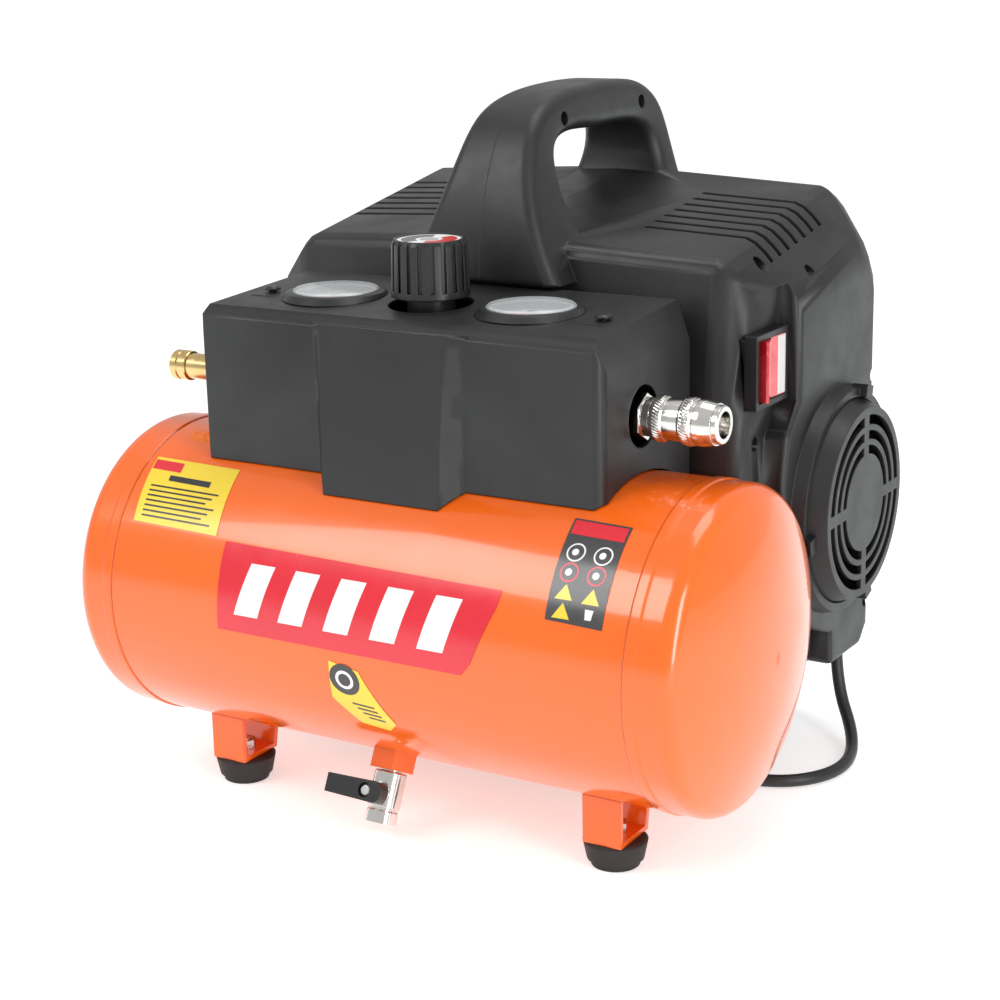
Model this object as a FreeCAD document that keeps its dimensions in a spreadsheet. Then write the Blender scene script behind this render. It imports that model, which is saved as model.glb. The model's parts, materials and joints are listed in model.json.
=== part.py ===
# Portable oil-free air compressor: a small horizontal tank carries a console with gauges,
# regulator and couplings, and a two-shell housing with the motor and piston pump behind it.
#
# +X runs along the tank to the fan end, +Y to the rear, +Z up. The origin is on the floor at the
# centre of the footprint. Sub-parts are drawn about the tank's axis and then set at its place.
import FreeCAD, Part
import math
import os
import Sketcher
from FreeCAD import Placement, Rotation, Vector

doc = FreeCAD.newDocument("air_compressor")
sheet = doc.addObject("Spreadsheet::Sheet", "Sizes")

DIMENSIONS = {
    # tank
    "tank_y": -68.0, "tank_z": 106.5, "tank_radius": 77.0, "tank_wall": 1.6, "seam_half": 145.4,
    "knuckle": 9.0, "crown": 175.0, "tank_tip": 181.5,
    # feet and brackets
    "foot_x": 109.0, "foot_y": -21.0, "rear_foot_x": 92.0, "rear_foot_y": 141.0,
    "foot_height": 13.5, "foot_radius": 15.5, "strip": 2.5, "strip_width": 20.0,
    "tray_top": -59.5, "tray_half": 122.0,
    # console
    "console_half": 112.0, "console_front": -36.5, "console_rear": 50.0, "skin": 2.5,
    "gauge_spread": 55.2, "gauge_mid": -2.2, "gauge_y": 5.0, "gauge_top": 150.2,
    "lens_radius": 21.1, "knob_radius": 18.1, "knob_top": 177.5, "knob_base": 150.5,
    "air_y": 3.0, "air_z": 103.5,
    # housing
    "shell_half": 145.0, "shell_rear": 213.0, "shell_floor": -58.0, "tank_gap": 84.0,
    "fan_y": 153.0, "fan_z": 32.0, "guard_radius": 49.0, "guard_face": 160.5,
    # pump
    "pump_x": -78.0, "crank_throw": 8.0, "cylinder_bore": 24.0,
    # lead
    "cord_radius": 3.25,
}
for row, (name, value) in enumerate(DIMENSIONS.items(), 1):
    sheet.set(f"A{row}", name)
    sheet.set(f"B{row}", str(value))
    sheet.setAlias(f"B{row}", name)
doc.recompute()


class Size(float):
    """A number that remembers the spreadsheet formula it was worked out by."""

    def __new__(cls, value, formula):
        size = super().__new__(cls, value)
        size.formula = formula
        return size

    def __add__(self, other):
        return Size(float(self) + float(other), f"({self.formula} + {formula_of(other)})")

    def __sub__(self, other):
        return Size(float(self) - float(other), f"({self.formula} - {formula_of(other)})")

    def __rsub__(self, other):
        return Size(float(other) - float(self), f"({formula_of(other)} - {self.formula})")

    def __mul__(self, other):
        return Size(float(self) * float(other), f"({self.formula} * {formula_of(other)})")

    def __truediv__(self, other):
        return Size(float(self) / float(other), f"({self.formula} / {formula_of(other)})")

    def __neg__(self):
        return Size(-float(self), f"(-1 * {self.formula})")

    __radd__ = __add__
    __rmul__ = __mul__


def other_side(longest, side):
    """The third side of a right triangle."""
    value = math.sqrt(float(longest) ** 2 - float(side) ** 2)
    return Size(value, f"sqrt(({longest.formula}) ^ 2 - ({side.formula}) ^ 2)")


def formula_of(value):
    return value.formula if isinstance(value, Size) else repr(round(float(value), 6))


class Sheet:
    """The driving dimensions by name, as Size values."""

    def __getattr__(self, name):
        return Size(getattr(sheet, name), f"Sizes.{name}")


S = Sheet()
PARTS = []
ALONG_X = Rotation(Vector(0, 1, 0), 90)
ALONG_MINUS_X = Rotation(Vector(0, 1, 0), -90)
ALONG_Y = Rotation(Vector(1, 0, 0), -90)
UPRIGHT = Rotation()
DOWNWARD = Rotation(Vector(1, 0, 0), 180)


# ---- drawing helpers -------------------------------------------------------------------------

def bind(thing, name, value):
    thing.setExpression(name, formula_of(value))


def place(thing, x=0.0, y=0.0, z=0.0, turn=UPRIGHT):
    """Set a piece at (x, y, z) from the tank's axis, which stands above the origin's floor."""
    spot = (x + Size(0, "0"), S.tank_y + y, S.tank_z + z)
    thing.Placement = Placement(Vector(*[float(v) for v in spot]), turn)
    for axis, value in zip("xyz", spot):
        bind(thing, f"Placement.Base.{axis}", value)
    return thing


def keep(thing, label):
    thing.Label = label
    PARTS.append(thing)
    return thing


def new_body(label):
    return doc.addObject("PartDesign::Body", label)


def new_sketch(body, plane, lift=0.0):
    sketch = body.newObject("Sketcher::SketchObject", "Sketch")
    support = [item for item in body.Origin.OriginFeatures if item.Role == plane][0]
    sketch.AttachmentSupport = (support, "")
    sketch.MapMode = "FlatFace"
    if lift:
        sketch.AttachmentOffset = Placement(Vector(0, 0, float(lift)), Rotation())
        bind(sketch, "AttachmentOffset.Base.z", lift)
    return sketch


def draw(sketch, path):
    """Draw a closed outline. A corner is (u, v), or (u, v, (mid_u, mid_v)) when an arc through
    the middle point leads to it from the corner before."""
    first = sketch.GeometryCount
    corners = [Vector(float(c[0]), float(c[1]), 0) for c in path]
    starts, ends, bends = [], [], []
    for i, end in enumerate(corners):
        start = corners[i - 1]
        if len(path[i]) > 2:
            middle = Vector(float(path[i][2][0]), float(path[i][2][1]), 0)
            arc = Part.Arc(start, middle, end)
            bends.append((sketch.addGeometry(arc, False), arc.toShape().Curve.Radius))
            left = (middle - start).cross(end - middle).z > 0
            starts.append(1 if left else 2)
            ends.append(2 if left else 1)
        else:
            sketch.addGeometry(Part.LineSegment(start, end), False)
            starts.append(1)
            ends.append(2)
    count = len(path)
    for i in range(count):
        following = (i + 1) % count
        sketch.addConstraint(Sketcher.Constraint(
            "Coincident", first + i, ends[i], first + following, starts[following]))
    for i, corner in enumerate(path):
        for kind, value in (("DistanceX", corner[0]), ("DistanceY", corner[1])):
            number = sketch.addConstraint(
                Sketcher.Constraint(kind, -1, 1, first + i, ends[i], float(value)))
            if isinstance(value, Size):
                bind(sketch, f"Constraints[{number}]", value)
    for arc, radius in bends:
        sketch.addConstraint(Sketcher.Constraint("Radius", arc, radius))
    return sketch


def draw_circle(sketch, u, v, radius):
    circle = sketch.addGeometry(Part.Circle(Vector(float(u), float(v), 0), Vector(0, 0, 1), float(radius)))
    for kind, value in (("DistanceX", u), ("DistanceY", v)):
        number = sketch.addConstraint(Sketcher.Constraint(kind, -1, 1, circle, 3, float(value)))
        if isinstance(value, Size):
            bind(sketch, f"Constraints[{number}]", value)
    number = sketch.addConstraint(Sketcher.Constraint("Radius", circle, float(radius)))
    if isinstance(radius, Size):
        bind(sketch, f"Constraints[{number}]", radius)


def pad(body, sketch, length, middle=False):
    feature = body.newObject("PartDesign::Pad", "Pad")
    feature.Profile = sketch
    feature.Length = float(length)
    bind(feature, "Length", length)
    feature.Midplane = middle
    return feature


def turned(label, path):
    """A piece turned about its own Z axis from a half outline of (radius, height) corners."""
    body = new_body(label)
    sketch = draw(new_sketch(body, "XZ_Plane"), path)
    feature = body.newObject("PartDesign::Revolution", "Revolution")
    feature.Profile = sketch
    feature.ReferenceAxis = (sketch, ["V_Axis"])
    feature.Angle = 360
    return body


def ring(label, inner, outer, low, high):
    return turned(label, [(inner, low), (outer, low), (outer, high), (inner, high)])


def flat(label, plane, path, thickness, lift=0.0, holes=(), middle=False):
    """A plate of the drawn outline, with round holes of (u, v, radius)."""
    body = new_body(label)
    sketch = draw(new_sketch(body, plane, lift), path)
    for hole in holes:
        draw_circle(sketch, *hole)
    pad(body, sketch, thickness, middle)
    return body


def hexagon(across, u=0.0, v=0.0):
    """Corners of a hexagon of the given width across its flats."""
    reach = across / math.sqrt(3)
    return [(u + reach * math.cos(math.radians(60 * i)), v + reach * math.sin(math.radians(60 * i)))
            for i in range(6)]


def rectangle(low_u, low_v, high_u, high_v):
    return [(low_u, low_v), (high_u, low_v), (high_u, high_v), (low_u, high_v)]


def round_bar(radius, length):
    bar = doc.addObject("Part::Cylinder", "Bar")
    bar.Radius = float(radius)
    bind(bar, "Radius", radius)
    bar.Height = float(length)
    bind(bar, "Height", length)
    return bar


def block(low, high):
    """A box between two corners, measured from the tank's axis."""
    box = doc.addObject("Part::Box", "Block")
    for side, a, b in zip(("Length", "Width", "Height"), low, high):
        bind(box, side, b - a if isinstance(b, Size) else (a * -1.0) + b)
    return place(box, *low)


def cut(base, *tools):
    for tool in tools:
        result = doc.addObject("Part::Cut", "Cut")
        result.Base = base
        result.Tool = tool
        base = result
    return base


def fuse(*pieces):
    result = doc.addObject("Part::MultiFuse", "Fuse")
    result.Shapes = list(pieces)
    return result


def common(*pieces):
    result = doc.addObject("Part::MultiCommon", "Common")
    result.Shapes = list(pieces)
    return result


def group(*pieces):
    result = doc.addObject("Part::Compound", "Group")
    result.Links = list(pieces)
    return result


def solid_of(shape):
    """A plain feature for a shape that no sketch feature makes."""
    feature = doc.addObject("Part::Feature", "Shape")
    feature.Shape = shape
    return place(feature)


def tank_core(radius):
    """A round bar along the tank's axis, to fit pieces to the tank."""
    bar = round_bar(radius, S.tank_tip * 2)
    return place(bar, -S.tank_tip, 0, 0, ALONG_X)


# ---- tank --------------------------------------------------------------------------------------

def tank_end():
    """A dished end that opens towards the tank's middle: a turned rim and a cap cut from spheres."""
    seam, crown_z = S.seam_half, S.tank_tip - S.crown
    knuckle_r = S.tank_radius - S.knuckle
    shoulder = crown_z + other_side(S.crown - S.knuckle, knuckle_r)
    inner_knuckle, inner_crown = S.knuckle - S.tank_wall, S.crown - S.tank_wall
    tangent = math.atan2(float(knuckle_r), float(shoulder - crown_z))
    cap_foot = crown_z + S.crown * math.cos(tangent)
    inner_start = math.acos(float(cap_foot - crown_z) / float(inner_crown))

    def on_knuckle(turn, radius):
        return knuckle_r + radius * math.sin(turn), shoulder + radius * math.cos(turn)

    def in_crown(turn):
        return inner_crown * math.sin(turn), crown_z + inner_crown * math.cos(turn)

    halfway = (tangent + math.pi / 2) / 2
    rim = turned("rim", [
        (S.tank_radius - S.tank_wall, seam), (S.tank_radius, seam), (S.tank_radius, shoulder),
        (*on_knuckle(tangent, S.knuckle), on_knuckle(halfway, S.knuckle)),
        (inner_crown * math.sin(inner_start), cap_foot),
        (*on_knuckle(tangent, inner_knuckle), in_crown((inner_start + tangent) / 2)),
        (S.tank_radius - S.tank_wall, shoulder, on_knuckle(halfway, inner_knuckle))])
    cap = doc.addObject("Part::Sphere", "Cap")
    bind(cap, "Radius", S.crown)
    cap.Angle1 = 90 - math.degrees(tangent)
    hollow = doc.addObject("Part::Sphere", "Hollow")
    bind(hollow, "Radius", inner_crown)
    for ball in (cap, hollow):
        bind(ball, "Placement.Base.z", crown_z)
    return fuse(rim, cut(cap, hollow))


DRAIN_X = -4.5
DRAIN_LEAN = 27.0
DRAIN_TURN = Rotation(Vector(1, 0, 0), 180 - DRAIN_LEAN)
STEM_AT = 97.5


def drain_place(thing, x=0.0, forward=0.0, out=0.0, turn=UPRIGHT):
    """Set a piece by its distance forward of, and out along, the slanted drain axis."""
    lean = math.radians(DRAIN_LEAN)
    y = -out * math.sin(lean) - forward * math.cos(lean)
    z = -out * math.cos(lean) + forward * math.sin(lean)
    return place(thing, DRAIN_X + x, y, z, DRAIN_TURN.multiply(turn))


def make_tank():
    barrel = ring("barrel", S.tank_radius - S.tank_wall, S.tank_radius, -S.seam_half, S.seam_half)
    barrel = place(barrel, turn=ALONG_X)
    boss = drain_place(flat("boss", "XY_Plane", hexagon(21.0), 15.6, holes=[(0, 0, 5.2)]), out=70.0)
    bore = drain_place(round_bar(5.2, 20.0), out=68.0)
    keep(cut(fuse(barrel, cut(boss, tank_core(S.tank_radius - S.tank_wall))), bore), "tank_barrel")
    seam, crown = S.seam_half, S.tank_radius + 0.7
    for side, turn in (("left", ALONG_MINUS_X), ("right", ALONG_X)):
        bead = turned("bead", [
            (S.tank_radius, seam - 3.2), (S.tank_radius, seam + 3.2), (crown, seam + 2.2), (crown, seam - 2.2)])
        keep(place(fuse(tank_end(), bead), turn=turn), f"tank_end_{side}")


# ---- feet, brackets and tray -------------------------------------------------------------------

def make_feet():
    top = S.foot_height - S.tank_z
    front_plate, rear_plate = S.foot_y - 13.5, S.foot_y + 13.5
    front, rear = S.rear_foot_y - 14, S.rear_foot_y + 14
    under_tray = S.tray_top - S.strip
    front_path = [
        (front_plate, -55.0), (front_plate, top), (rear_plate, top), (rear_plate + 6, -60.0),
        (rear_plate + 3.4, -60.0), (rear_plate - S.strip, top + S.strip),
        (front_plate + S.strip, top + S.strip), (front_plate + S.strip, -55.0)]
    rear_path = [
        (front, top), (rear, top), (rear, under_tray), (rear - S.strip, under_tray),
        (rear - S.strip, top + S.strip), (front + S.strip, top + S.strip),
        (front + S.strip, under_tray), (front, under_tray)]
    foot_path = [
        (3.3, 5.0), (6.4, 5.0), (6.4, 0.0), (11.6, 0.0), (12.0, 2.4), (13.6, 3.2),
        (S.foot_radius, 12.3), (S.foot_radius - 1.2, S.foot_height), (3.3, S.foot_height)]
    screw_path = [(0, 1.0), (5.4, 1.0), (5.8, 1.6), (5.8, 4.6), (3.0, 5.0), (3.0, 21.5), (0, 21.5)]
    brackets, feet, screws = [], [], []
    for sign in (-1, 1):
        for x, y, path in ((S.foot_x * sign, S.foot_y, front_path),
                           (S.rear_foot_x * sign, S.rear_foot_y, rear_path)):
            strip = place(flat("strip", "YZ_Plane", path, S.strip_width, middle=True), x)
            hole = place(round_bar(3.2, 10.0), x, y, top - 3.0)
            brackets.append(cut(strip, tank_core(S.tank_radius), hole))
            feet.append(place(turned("foot", foot_path), x, y, -S.tank_z))
            screws.append(place(turned("screw", screw_path), x, y, -S.tank_z))
            nut = flat("nut", "XY_Plane", hexagon(9.8), 4.6, holes=[(0, 0, 3.05)])
            screws.append(place(nut, x, y, top + S.strip))
    keep(group(brackets[0], brackets[2]), "foot_brackets")
    keep(group(brackets[1], brackets[3]), "rear_brackets")
    keep(group(*feet), "rubber_feet")
    keep(group(*screws), "foot_screws")


def make_tray():
    under = S.tray_top - S.strip
    tray = flat("tray", "XY_Plane", rectangle(-S.tray_half, 84.5, S.tray_half, 200.0), S.strip)
    path = [(14.0, -84.0), (124.0, -84.0), (124.0, under), (83.0, under), (83.0, -24.0), (50.0, -24.0)]
    gussets = []
    for sign in (-1, 1):
        plate = flat("gusset", "YZ_Plane", path, 4.0, middle=True)
        gussets.append(cut(place(plate, S.rear_foot_x * sign), tank_core(S.tank_radius)))
    keep(fuse(place(tray, z=under), *gussets), "motor_tray")


# ---- drain valve, which points out of the tank at a slant --------------------------------------

def make_drain():
    body = turned("valve", [
        (3.5, 76.5), (5.1, 76.5), (5.1, 86.2), (7.4, 86.2), (8.1, 87.0), (8.1, 103.6), (7.3, 104.4),
        (7.3, 105.2), (7.9, 105.8), (7.9, 111.7), (5.6, 111.7), (5.6, 104.5), (3.5, 103.8)])
    body = drain_place(body)
    neck = drain_place(round_bar(5.2, 13.4), out=STEM_AT, turn=ALONG_Y)
    stem_bore = drain_place(round_bar(2.5, 20.0), out=STEM_AT, turn=ALONG_Y)
    ball_seat = doc.addObject("Part::Sphere", "Seat")
    ball_seat.Radius = 5.6
    keep(cut(fuse(body, neck), drain_place(ball_seat, out=STEM_AT), stem_bore), "drain_valve_body")

    ball = doc.addObject("Part::Sphere", "Ball")
    ball.Radius = 5.54
    port = drain_place(round_bar(2.8, 14.0), x=-7.0, out=STEM_AT, turn=ALONG_X)
    stem = drain_place(round_bar(2.44, 12.6), forward=5.0, out=STEM_AT, turn=ALONG_Y)
    keep(fuse(cut(drain_place(ball, out=STEM_AT), port), stem), "drain_ball")

    lever_path = [(-22.0, -4.6), (5.0, -5.2), (9.4, 0.0, (8.4, -3.6)), (5.0, 5.2, (8.4, 3.6)), (-22.0, 4.6)]
    lever = flat("lever", "XY_Plane", lever_path, 7.0)
    recess = round_bar(3.6, 4.0)
    lever = drain_place(lever, forward=13.8, out=STEM_AT, turn=ALONG_Y)
    recess = drain_place(recess, forward=17.8, out=STEM_AT, turn=ALONG_Y)
    bore = drain_place(round_bar(2.45, 8.0), forward=13.0, out=STEM_AT, turn=ALONG_Y)
    keep(cut(lever, recess, bore), "drain_lever")
    screw = turned("screw", [(0, 0), (3.2, 0), (3.2, 1.2), (2.2, 2.0), (0, 2.0)])
    keep(drain_place(screw, forward=17.85, out=STEM_AT, turn=ALONG_Y), "drain_lever_screw")


# ---- console -----------------------------------------------------------------------------------

def console_solid(inset):
    """The console's outer form, or its hollow when inset by the skin."""
    half, front, rear = S.console_half - inset, S.console_front + inset, S.console_rear - inset
    side_path = [
        (front, 40.0), (rear, 40.0), (rear, 149.0 - inset), (front + 5.5, 144.5 - inset),
        (front, 139.0 - inset)]
    face_path = [
        (-half, 40.0), (half, 40.0), (half, 130.0), (half - 7.0, 151.0 - inset),
        (7.0 - half, 151.0 - inset), (-half, 130.0)]
    plan_path = [
        (4.5 - half, front), (half - 4.5, front), (half, front + 5.0), (half, rear), (-half, rear),
        (-half, front + 5.0)]
    side = place(flat("side", "YZ_Plane", side_path, 300.0, middle=True))
    face = place(flat("face", "XZ_Plane", face_path, 200.0, middle=True))
    plan = place(flat("plan", "XY_Plane", plan_path, 140.0, lift=30.0))
    return common(side, face, plan)


def console_front_panel(inset):
    """The raised centre panel, which leans forward towards its foot."""
    body = new_body("panel")
    sections = []
    for height, front, half in ((40.0, -48.8, 31.5), (141.5, -42.2, 34.0)):
        front, half = front + inset, half - inset
        path = [(-half - 9.0, -30.0), (-half - 9.0, -36.0), (-half, front), (half, front),
                (half + 9.0, -36.0), (half + 9.0, -30.0)]
        sections.append(draw(new_sketch(body, "XY_Plane", height - inset), path))
    loft = body.newObject("PartDesign::AdditiveLoft", "Loft")
    loft.Profile = sections[0]
    loft.Sections = sections[1:]
    loft.Ruled = True
    return place(body)


def make_console():
    outer = fuse(console_solid(0.0), console_front_panel(0.0))
    hollow = fuse(console_solid(S.skin), console_front_panel(S.skin))
    tools = [hollow, tank_core(S.tank_radius + 0.6)]
    for sign in (-1, 1):
        x = S.gauge_mid + S.gauge_spread * sign
        tools.append(place(round_bar(S.lens_radius - 0.4, 20.0), x, S.gauge_y, 138.0))
        tools.append(place(round_bar(2.2, 20.0), 93.0 * sign, 1.0, 138.0))
    tools.append(place(round_bar(20.5, 20.0), S.gauge_mid, S.gauge_y, 138.0))
    tools.append(place(round_bar(14.5, 20.0), 100.0, S.air_y, S.air_z, ALONG_X))
    tools.append(place(round_bar(10.0, 20.0), -120.0, S.air_y, S.air_z, ALONG_X))
    shell = cut(outer, *tools)
    pipe = place(round_bar(6.8, 224.0), -112.0, S.air_y, S.air_z, ALONG_X)
    under_pipe = block((-112.0, S.air_y - 6.8, 60.0), (112.0, S.air_y + 6.8, S.air_z))
    posts = []
    for sign in (-1, 1):
        post = flat("post", "XY_Plane", hexagon(20.0), 76.0, holes=[(0, 0, 1.9)])
        post = place(post, 93.0 * sign, 1.0, 70.0)
        posts.append(cut(post, tank_core(S.tank_radius), pipe, under_pipe))
    keep(fuse(shell, *posts), "console_cover")


def make_gauges():
    bezels, cases, dials, lenses = [], [], [], []
    outline = [(-4.5, -0.9), (0, -1.6), (14.5, -0.25), (14.5, 0.25), (0, 1.6), (-4.5, 0.9)]
    for side, sign in (("left", -1), ("right", 1)):
        x, y = S.gauge_mid + S.gauge_spread * sign, S.gauge_y
        bezel = turned("bezel", [
            (S.lens_radius - 1.6, 145.2), (26.0, 144.6), (27.0, 145.6), (24.2, 148.6), (22.6, 149.0),
            (S.lens_radius, 149.0), (S.lens_radius, 147.6), (S.lens_radius - 1.6, 147.6)])
        bezels.append(cut(place(bezel, x, y), console_solid(0.0)))
        cases.append(place(turned("case", [
            (0, 107.0), (5.0, 107.0), (5.0, 127.0), (19.2, 128.5), (19.2, 147.5), (18.4, 147.5),
            (18.4, 130.0), (0, 129.2)]), x, y))
        dials.append(place(ring("dial", 0.96, 18.4, 144.0, 144.6), x, y))
        lenses.append(place(turned("lens", [
            (0, 149.2), (S.lens_radius - 1.6, 149.0), (S.lens_radius - 1.6, 147.6), (S.lens_radius, 147.6),
            (S.lens_radius, S.gauge_top - 0.8), (S.lens_radius - 1.0, S.gauge_top), (0, S.gauge_top)]), x, y))
        pin = place(round_bar(0.9, 15.5), x, y, 130.4)
        pointer = flat("pointer", "XY_Plane", outline, 0.5)
        pointer = place(pointer, x, y, 145.6, Rotation(Vector(0, 0, 1), -135))
        keep(fuse(pointer, pin), f"gauge_needle_{side}")
    keep(group(*bezels), "gauge_bezels")
    keep(group(*cases), "gauge_cases")
    keep(group(*dials), "gauge_dials")
    keep(group(*lenses), "gauge_lenses")


def make_regulator():
    x, y = S.gauge_mid, S.gauge_y
    bonnet = turned("bonnet", [
        (0, 114.5), (13.5, 114.5), (13.5, 130.0), (11.5, 132.0), (11.5, 149.0), (4.06, 149.0),
        (4.06, 143.0), (8.0, 143.0), (8.0, 118.0), (0, 118.0)])
    keep(place(bonnet, x, y), "regulator_body")
    keep(place(ring("seat", 4.06, 7.94, 137.0, 140.0), x, y), "regulator_spring_seat")
    turns = [place(ring("turn", 4.6, 7.0, 118.0 + 3.4 * i, 119.6 + 3.4 * i), x, y) for i in range(6)]
    riser = place(round_bar(0.8, 18.9), x + 5.8, y, 118.0)
    keep(fuse(*turns, riser), "regulator_spring")
    keep(place(round_bar(4.0, 50.0), x, y, 120.0), "regulator_spindle")

    base, top, radius = S.knob_base, S.knob_top, S.knob_radius
    body = turned("knob", [
        (4.0, base + 2), (14.0, base + 2), (14.0, base), (radius + 0.8, base), (radius, top - 2.0),
        (radius - 1.2, top), (radius - 2.6, top), (radius - 2.6, top - 1.6), (4.0, top - 1.6)])
    groove = draw(new_sketch(body, "XY_Plane", base + 3.0), rectangle(16.9, -1.1, 22.0, 1.1))
    pocket = body.newObject("PartDesign::Pocket", "Flute")
    pocket.Profile = groove
    pocket.Length = 40.0
    pocket.Reversed = True
    doc.recompute()
    pattern = body.newObject("PartDesign::PolarPattern", "Flutes")
    pattern.Originals = [pocket]
    pattern.Axis = (body.Origin.OriginFeatures[2], [""])
    pattern.Angle = 360
    pattern.Occurrences = 20
    body.Tip = pattern
    keep(place(body, x, y), "regulator_knob")
    keep(place(ring("disc", 0, radius - 2.6, top - 1.6, top - 0.5), x, y), "regulator_knob_cap")


def make_air_fittings():
    y, z = S.air_y, S.air_z
    bar = place(flat("bar", "YZ_Plane", rectangle(-10.0, -11.0, 10.0, 11.0), 134.0), -69.0, y, z)
    ports = [place(round_bar(5.0, 30.0), S.gauge_mid + S.gauge_spread * sign, S.gauge_y, z + 3.5)
             for sign in (-1, 1)]
    passage = place(round_bar(4.0, 200.0), -100.0, y, z, ALONG_X)
    keep(cut(bar, *ports, passage), "air_manifold")
    pipe = place(ring("pipe", 3.4, 6.0, 70.0, z - 11.0), 30.0, y)
    collar = place(ring("collar", 3.4, 10.0, 70.0, 84.0), 30.0, y)
    keep(cut(fuse(pipe, collar), tank_core(S.tank_radius)), "tank_riser")

    low, high = (-28.0, 22.0, 86.0), (28.0, 45.0, 132.0)
    stub = place(round_bar(5.0, 9.0), 0, y + 10.0, z, ALONG_Y)
    keep(fuse(block(low, high), stub), "pressure_switch")

    body = turned("body", [
        (4.0, 65.0), (6.2, 65.0), (6.2, 112.0), (9.0, 114.8), (9.0, 118.4), (7.2, 118.8), (7.2, 143.05),
        (8.9, 143.05), (8.9, 151.8), (8.3, 152.4), (6.2, 152.4), (6.2, 139.0), (4.0, 137.0)])
    nut = flat("nut", "XY_Plane", hexagon(19.0), 5.2, holes=[(0, 0, 5.5)])
    keep(fuse(place(body, 0, y, z, ALONG_X), place(nut, 109.0, y, z, ALONG_X)), "coupler_body")
    sleeve = turned("sleeve", [
        (7.26, 124.2), (9.08, 124.0), (9.08, 119.0), (10.0, 119.0), (10.5, 119.5), (10.5, 124.6),
        (9.7, 125.4), (9.7, 133.0), (10.8, 134.2), (10.8, 139.0), (10.1, 139.7), (10.1, 140.4),
        (10.7, 141.0), (10.7, 143.4), (9.6, 149.4), (8.97, 149.4), (8.97, 143.0), (7.26, 143.0)])
    keep(place(sleeve, 0, y, z, ALONG_X), "coupler_sleeve")

    valve = turned("valve", [
        (3.2, 69.0), (6.2, 69.0), (6.2, 104.0), (9.0, 104.6), (9.0, 113.4), (6.7, 114.5), (6.7, 148.4),
        (3.2, 148.4)])
    keep(place(valve, 0, y, z, ALONG_MINUS_X), "safety_valve_body")
    cap = turned("cap", [
        (0, 138.0), (3.14, 138.0), (3.14, 148.45), (7.3, 148.45), (7.7, 149.0), (7.7, 153.4), (7.1, 154.0),
        (7.7, 154.6), (7.7, 158.0), (6.4, 159.2), (0, 159.2)])
    keep(place(cap, 0, y, z, ALONG_MINUS_X), "safety_valve_cap")


# ---- housing -----------------------------------------------------------------------------------

TOP_RISE = 0.165
TOP_LEAN = 0.045


def top_height(y, x):
    """Height of the housing's roof, which rises to the rear and falls away to each side."""
    return 178.7 + TOP_RISE * (y - 118.0) - TOP_LEAN * x


SHOULDER = [  # (distance in from the side wall, drop of the roof there)
    (30, 0), (25, 2), (20, 6), (6, 21), (2, 27), (0, 34)]


def shell_section(x, inset):
    """The housing's outline across X at distance x from the middle, as (y, z) corners."""
    inward = float(S.shell_half) - inset - x
    ease = 0.0
    for (far, drop_far), (near, drop_near) in zip(SHOULDER, SHOULDER[1:]):
        if inward <= far:
            share = min(1.0, (far - inward) / (far - near))
            ease = drop_far + share * (drop_near - drop_far)
    rear = float(S.shell_rear) - inset - 0.45 * ease
    floor, gap = float(S.shell_floor) + inset, float(S.tank_gap) + inset
    front_top, front_foot = 66.0 + inset + ease * 0.4, 54.0 + inset + ease * 0.4
    lift = inset + ease
    reach = math.acos((front_foot + 1.0) / gap)
    under = [(gap * math.cos(reach * s), gap * math.sin(reach * s)) for s in (0.0, 0.25, 0.5, 0.75, 1.0)]
    roof_rear = top_height(rear - 18, x) - lift
    return [
        (front_top, top_height(front_top, x) - lift - 4), (front_top + 5, top_height(front_top, x) - lift),
        (rear - 18, roof_rear), (rear - 7, roof_rear - 5), (rear, roof_rear - 16), (rear, floor + 10),
        (rear - 10, floor), (gap, floor), *under, (front_foot, gap * math.sin(reach) + 4)]


def shell_loft(inset, start):
    end = float(S.shell_half) - inset
    wires = []
    for x in [start] + [end - back for back, drop in SHOULDER]:
        corners = [Vector(x, y, z) for y, z in shell_section(x, inset)]
        wires.append(Part.makePolygon(corners + corners[:1]))
    return Part.makeLoft(wires, True, True)


SIDE_STEP = 133.0
STEP_EDGE = [  # where the fan drum stands proud of the stepped-in side wall
    (104, 150), (104, 93), (90, 78), (86, 55), (88, 30), (98, 0), (112, -20), (128, -31), (150, -40)]


def side_step(inset):
    """The wedge that steps the right wall in, ahead of the fan drum."""
    outline = [(20, 150 + inset)] + [(y + inset, z + inset) for y, z in STEP_EDGE]
    outline += [(150 + inset, -80), (20, -80)]
    corners = [Vector(SIDE_STEP - inset, y, z) for y, z in outline]
    return Part.Face(Part.makePolygon(corners + corners[:1])).extrude(Vector(60, 0, 0))


HANDLE_OUTER = [  # side view, as (y, z)
    (44.5, 150.6), (46, 168), (51, 190), (60, 211), (74, 228), (96, 236.5), (130, 240), (166, 240),
    (188, 236.5), (203, 226.5), (210, 210), (212, 188), (211.5, 168), (210.5, 150.6)]
HANDLE_GAP = [
    (94, 160), (87, 178), (85, 198), (88, 211), (100, 217), (130, 218), (170, 218), (184, 214), (190.5, 202),
    (188, 186), (176, 160)]
HANDLE_HALF = [  # front view from the foot to above the top, as (x, z)
    (50, 140), (40, 158), (31.5, 178), (25.5, 196), (21.5, 214), (19, 232), (17.5, 250), (17, 262)]
HANDLE_ROUND = 7.0
HOLLOW_MARGIN = 0.8


def smooth_face(points, *corners):
    """A face inside a smooth curve through the points, closed by straight lines over the corners."""
    curve = Part.BSplineCurve()
    curve.interpolate(points)
    lines = Part.makePolygon([points[-1], *corners, points[0]])
    return Part.Face(Part.Wire([curve.toShape(), *lines.Edges]))


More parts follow.
